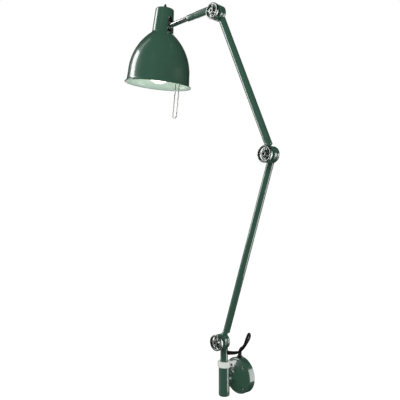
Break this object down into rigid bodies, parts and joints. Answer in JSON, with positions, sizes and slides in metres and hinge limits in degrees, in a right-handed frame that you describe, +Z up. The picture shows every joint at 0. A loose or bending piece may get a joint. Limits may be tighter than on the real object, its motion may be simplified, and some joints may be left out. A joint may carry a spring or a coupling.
{
  "type": "articulated wall lamp",
  "caption": "Wall lamp with a domed plate, swivelling socket, two hinged tube arms with clamping handwheels and a tilting bell shade on a rod.",
  "frame": {"origin": "middle of the wall plate, on the wall", "axes": "+Z up, -Y out of the wall into the room, +X to the right seen from the room"},
  "size_m": [0.4402, 0.1737, 0.915],
  "materials": {
    "green_lacquer": "glossy dark green lacquer",
    "green_shade": "glossy dark green lacquer outside, pale lacquer inside",
    "steel": "zinc plated",
    "chrome": "polished",
    "cast_alloy": "cast and tumbled",
    "nylon": "moulded, natural white",
    "fibre": "pressed fibre",
    "black_plastic": "moulded",
    "lamp_glass": "opal",
    "cord_sheath": "smooth black sheath"
  },
  "bodies": {
    "wall_side": {"wall_cover": "green_lacquer", "back_plate": "steel", "cover_screws": "steel", "terminal_block": "black_plastic", "cord_gland": "black_plastic", "stub": "green_lacquer", "stub_collar": "green_lacquer", "socket_tube": "green_lacquer", "socket_liner": "nylon", "nylon_ring": "nylon", "ring_screw": "steel", "mains_cord": "cord_sheath"},
    "swivel": {"swivel_pin": "green_lacquer", "swivel_knuckle": "green_lacquer", "cord_grommet": "black_plastic", "lower_bolt": "steel", "lower_friction_washer": "fibre"},
    "lower_arm": {"lower_arm_foot": "green_lacquer", "lower_arm_tube": "green_lacquer", "lower_arm_head": "green_lacquer", "lower_thrust_washer": "steel", "middle_bolt": "steel", "middle_friction_washer": "fibre"},
    "upper_arm": {"upper_arm_foot": "green_lacquer", "upper_arm_tube": "green_lacquer", "upper_arm_head": "green_lacquer", "middle_thrust_washer": "steel", "top_bolt": "steel", "top_friction_washer": "fibre"},
    "head_arm": {"rod_head": "green_lacquer", "rod_sleeve": "green_lacquer", "top_thrust_washer": "steel"},
    "shade_rod": {"shade_rod": "chrome"},
    "shade": {"shade": "green_shade", "ball_housing": "cast_alloy", "upper_seat": "nylon", "lower_seat": "nylon", "seat_spring": "steel", "housing_cap": "cast_alloy", "housing_ring": "cast_alloy", "lampholder": "black_plastic", "lamp_bulb": "lamp_glass", "switch_body": "black_plastic", "handle_wire": "steel", "handle_clip": "steel"},
    "switch_knob": {"switch_knob": "black_plastic"},
    "lower_handwheel": {"lower_handwheel": "cast_alloy"},
    "middle_handwheel": {"middle_handwheel": "cast_alloy"},
    "top_handwheel": {"top_handwheel": "cast_alloy"}
  },
  "joints": [
    {"name": "swivel_turn", "type": "hinge", "parent": "wall_side", "child": "swivel", "pos_m": [0, -0.0545, 0], "axis": [0, 0, 1], "range_deg": [-80, 80]},
    {"name": "lower_hinge", "type": "hinge", "parent": "swivel", "child": "lower_arm", "pos_m": [0, -0.0545, 0.085], "axis": [-0.1219, 0.9925, 0], "range_deg": [-118, 82]},
    {"name": "middle_hinge", "type": "hinge", "parent": "lower_arm", "child": "upper_arm", "pos_m": [0.12889, -0.03867, 0.48232], "axis": [-0.1219, 0.9925, 0], "range_deg": [-58, 142]},
    {"name": "top_hinge", "type": "hinge", "parent": "upper_arm", "child": "head_arm", "pos_m": [-0.01209, -0.05599, 0.80438], "axis": [-0.1219, 0.9925, 0], "range_deg": [-34, 146]},
    {"name": "rod_turn", "type": "hinge", "parent": "head_arm", "child": "shade_rod", "pos_m": [-0.18941, -0.08884, 0.81688], "axis": [-0.9925, -0.1219, 0], "range_deg": [-85, 85]},
    {"name": "shade_tilt", "type": "hinge", "parent": "shade_rod", "child": "shade", "pos_m": [-0.18941, -0.08884, 0.81688], "axis": [-0.1219, 0.9925, 0], "range_deg": [-20, 23]},
    {"name": "switch_turn", "type": "hinge", "parent": "shade", "child": "switch_knob", "pos_m": [-0.18239, -0.08798, 0.86537], "axis": [0.1433, 0.0176, 0.9895], "range_deg": [0, 90]},
    {"name": "lower_wheel_turn", "type": "hinge", "parent": "swivel", "child": "lower_handwheel", "pos_m": [0, -0.0545, 0.085], "axis": [-0.1219, 0.9925, 0], "range_deg": [0, 180]},
    {"name": "middle_wheel_turn", "type": "hinge", "parent": "lower_arm", "child": "middle_handwheel", "pos_m": [0.12889, -0.03867, 0.48232], "axis": [-0.1219, 0.9925, 0], "range_deg": [0, 180]},
    {"name": "top_wheel_turn", "type": "hinge", "parent": "upper_arm", "child": "top_handwheel", "pos_m": [-0.01209, -0.05599, 0.80438], "axis": [-0.1219, 0.9925, 0], "range_deg": [0, 180]}
  ]
}
